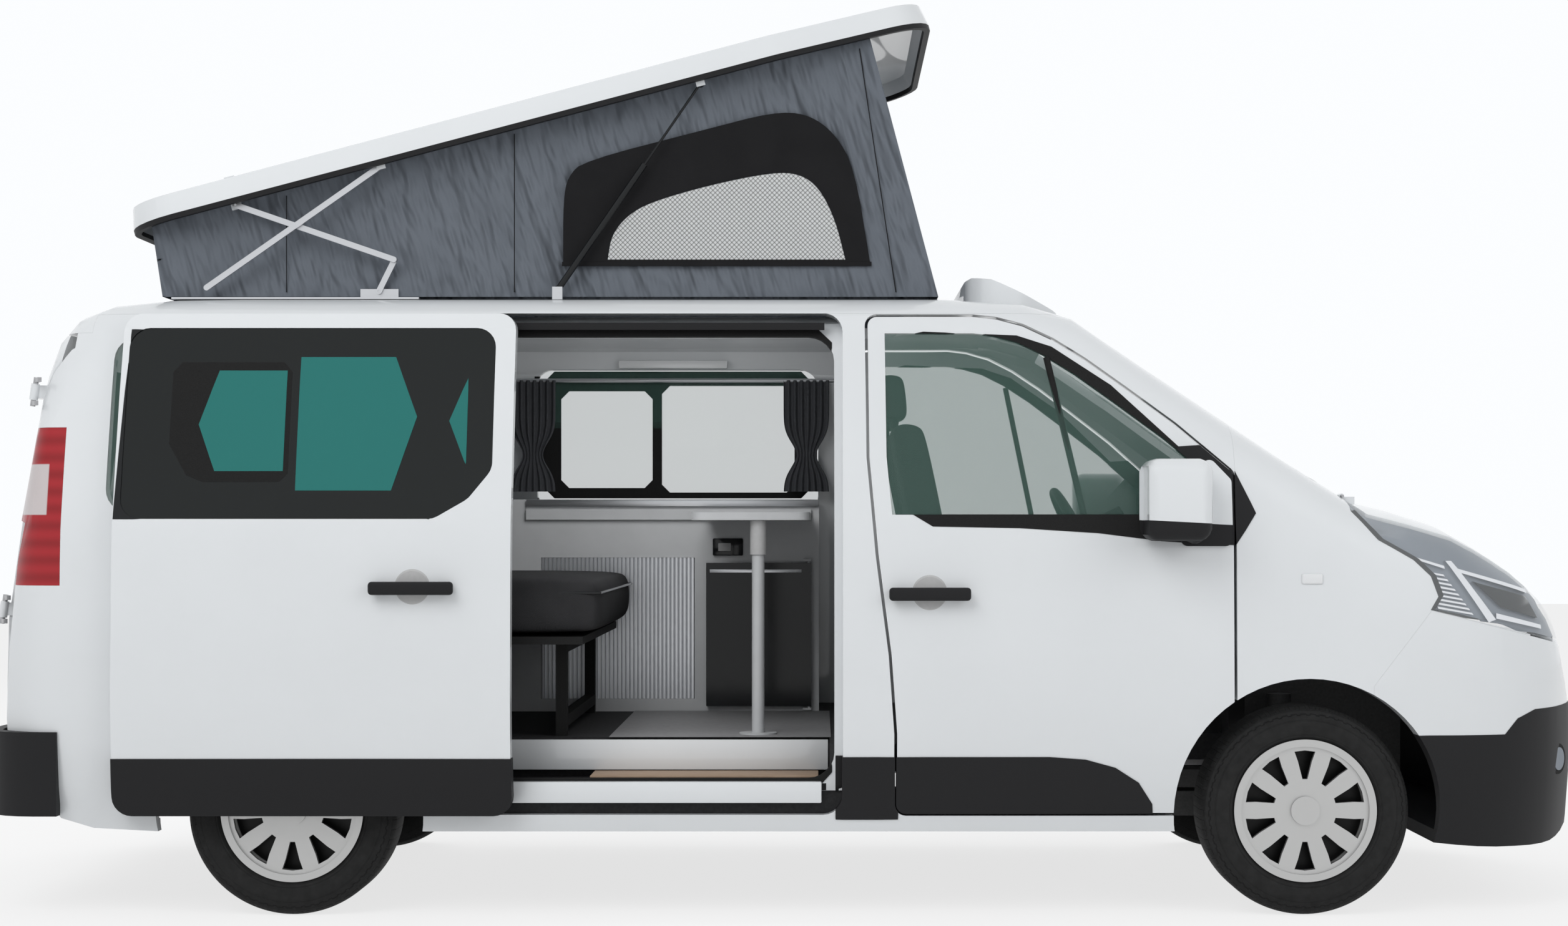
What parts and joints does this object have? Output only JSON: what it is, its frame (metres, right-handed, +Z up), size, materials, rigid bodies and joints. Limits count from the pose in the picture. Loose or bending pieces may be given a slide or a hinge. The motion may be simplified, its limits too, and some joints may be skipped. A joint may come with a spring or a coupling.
{
  "type": "campervan",
  "caption": "Panel van fitted as a camper, with a fabric-sided lifting roof raised at the front, an open sliding side door, hinged cab and rear doors, and a furnished living space.",
  "frame": {"origin": "ground level under the middle of the van's overall length and width", "axes": "+X to the van's nose, +Y to the van's left side, +Z up"},
  "size_m": [5, 2.2782, 2.8567],
  "materials": {
    "body_paint": "gloss",
    "underbody": "satin",
    "black_trim": "satin",
    "lamp_clear": "gloss",
    "lamp_red": "gloss",
    "screen_glass": "gloss",
    "tinted_glass": "gloss",
    "hinge_steel": "satin",
    "cast_metal": "matte",
    "exhaust": "satin",
    "dash_plastic": "matte",
    "seat_cloth": "matte",
    "bench_steel": "satin",
    "unit_board": "satin",
    "shutter": "satin",
    "curtain_cloth": "matte",
    "tent_cloth": "matte",
    "lift_alloy": "satin",
    "strut_black": "satin",
    "strut_rod": "gloss",
    "fridge_black": "gloss",
    "tyre_rubber": "matte",
    "wheel_silver": "satin"
  },
  "bodies": {
    "body": {"underbody": "underbody", "body_left": "body_paint", "body_right": "body_paint", "roof_frame": "body_paint", "front_wings": "body_paint", "cowl": "black_trim", "bumper_front": "body_paint", "rear_bumper": "black_trim", "headlamps": "lamp_clear", "tail_lamps": "lamp_red", "windscreen": "screen_glass", "side_windows": "tinted_glass", "sliding_door": "body_paint", "sliding_door_glass": "tinted_glass", "door_tracks": "black_trim", "door_hinges": "hinge_steel", "engine_block": "cast_metal", "axles": "cast_metal", "tank_exhaust": "exhaust", "dashboard": "dash_plastic", "front_seats": "seat_cloth", "bench_frame": "bench_steel", "bed_cushions": "seat_cloth", "kitchen_unit": "unit_board", "tambour_door": "shutter", "table": "unit_board", "curtains": "curtain_cloth", "roof_rails": "lift_alloy", "roof_fairing": "body_paint", "tent": "tent_cloth"},
    "pop_roof": {"pop_roof": "body_paint", "pop_roof_rim": "black_trim"},
    "lift_arms": {"lift_arms": "lift_alloy"},
    "lift_cross_arms": {"lift_cross_arms": "lift_alloy"},
    "lift_links": {"lift_links": "lift_alloy"},
    "strut_cylinders": {"strut_cylinders": "strut_black"},
    "strut_rods": {"strut_rods": "strut_rod"},
    "front_door_right": {"front_door_right": "body_paint", "door_glass_right": "screen_glass", "mirror_right": "black_trim"},
    "rear_door_right": {"rear_door_right": "body_paint", "rear_glass_right": "tinted_glass"},
    "front_door_left": {"front_door_left": "body_paint", "door_glass_left": "screen_glass", "mirror_left": "black_trim"},
    "rear_door_left": {"rear_door_left": "body_paint", "rear_glass_left": "tinted_glass"},
    "bonnet": {"bonnet": "body_paint"},
    "fridge_door": {"fridge_door": "fridge_black"},
    "knuckle_left": {"knuckle_left": "hinge_steel"},
    "knuckle_right": {"knuckle_right": "hinge_steel"},
    "wheel_front_left": {"tyre_front_left": "tyre_rubber", "rim_front_left": "wheel_silver"},
    "wheel_front_right": {"tyre_front_right": "tyre_rubber", "rim_front_right": "wheel_silver"},
    "wheel_rear_left": {"tyre_rear_left": "tyre_rubber", "rim_rear_left": "wheel_silver"},
    "wheel_rear_right": {"tyre_rear_right": "tyre_rubber", "rim_rear_right": "wheel_silver"}
  },
  "joints": [
    {"name": "roof_lift", "type": "hinge", "parent": "body", "child": "pop_roof", "pos_m": [-2.77, 0, 1.968], "axis": [0, 1, 0], "range_deg": [0, 14.78], "deforming": ["tent"]},
    {"name": "lift_arm_swing", "type": "hinge", "parent": "pop_roof", "child": "lift_arms", "pos_m": [-1.31404, 0, 2.32318], "axis": [0, 1, 0], "range_deg": [0, 21]},
    {"name": "lift_cross_swing", "type": "hinge", "parent": "pop_roof", "child": "lift_cross_arms", "pos_m": [-1.77467, 0, 2.20165], "axis": [0, 1, 0], "range_deg": [-35, 0]},
    {"name": "lift_link_swing", "type": "hinge", "parent": "body", "child": "lift_links", "pos_m": [-1.325, 0, 1.931], "axis": [0, 1, 0], "range_deg": [0, 60]},
    {"name": "strut_swing", "type": "hinge", "parent": "body", "child": "strut_cylinders", "pos_m": [-0.76, 0, 1.935], "axis": [0, 1, 0], "range_deg": [0, 57]},
    {"name": "strut_slide", "type": "slide", "parent": "strut_cylinders", "child": "strut_rods", "axis": [0.5685, 0, 0.8227], "range_m": [-0.275, 0]},
    {"name": "front_door_right_swing", "type": "hinge", "parent": "body", "child": "front_door_right", "pos_m": [1.2, -0.944, 0.9], "axis": [0, 0, 1], "range_deg": [0, 65]},
    {"name": "front_door_left_swing", "type": "hinge", "parent": "body", "child": "front_door_left", "pos_m": [1.2, 0.944, 0.9], "axis": [0, 0, -1], "range_deg": [0, 65]},
    {"name": "rear_door_right_swing", "type": "hinge", "parent": "body", "child": "rear_door_right", "pos_m": [-2.4594, -0.806, 0.934], "axis": [0.1398, 0, 0.9902], "range_deg": [0, 180]},
    {"name": "rear_door_left_swing", "type": "hinge", "parent": "body", "child": "rear_door_left", "pos_m": [-2.4594, 0.806, 0.934], "axis": [-0.1398, 0, -0.9902], "range_deg": [0, 180]},
    {"name": "bonnet_lift", "type": "hinge", "parent": "body", "child": "bonnet", "pos_m": [1.69, 0, 1.284], "axis": [0, -1, 0], "range_deg": [0, 50]},
    {"name": "fridge_swing", "type": "hinge", "parent": "body", "child": "fridge_door", "pos_m": [0.026, 0.432, 0.8], "axis": [0, 0, 1], "range_deg": [0, 90]},
    {"name": "steer_left", "type": "hinge", "parent": "body", "child": "knuckle_left", "pos_m": [1.549, 0.73, 0.32], "axis": [0, 0, 1], "range_deg": [-35, 35]},
    {"name": "steer_right", "type": "hinge", "parent": "body", "child": "knuckle_right", "pos_m": [1.549, -0.73, 0.32], "axis": [0, 0, 1], "range_deg": [-35, 35]},
    {"name": "wheel_front_left_spin", "type": "hinge", "parent": "knuckle_left", "child": "wheel_front_left", "pos_m": [1.549, 0.808, 0.32], "axis": [0, 1, 0], "continuous": true},
    {"name": "wheel_front_right_spin", "type": "hinge", "parent": "knuckle_right", "child": "wheel_front_right", "pos_m": [1.549, -0.808, 0.32], "axis": [0, 1, 0], "continuous": true},
    {"name": "wheel_rear_left_spin", "type": "hinge", "parent": "body", "child": "wheel_rear_left", "pos_m": [-1.549, 0.808, 0.32], "axis": [0, 1, 0], "continuous": true},
    {"name": "wheel_rear_right_spin", "type": "hinge", "parent": "body", "child": "wheel_rear_right", "pos_m": [-1.549, -0.808, 0.32], "axis": [0, 1, 0], "continuous": true}
  ],
  "couplings": [
    {"joint": "lift_arm_swing", "follows": "roof_lift", "ratio": 1.365},
    {"joint": "lift_cross_swing", "follows": "roof_lift", "ratio": -2.29},
    {"joint": "lift_link_swing", "follows": "roof_lift", "ratio": 3.97},
    {"joint": "strut_swing", "follows": "roof_lift", "ratio": 3.73},
    {"joint": "strut_slide", "follows": "roof_lift", "m_per_rad": -1.027},
    {"joint": "steer_right", "follows": "steer_left", "ratio": 1}
  ]
}
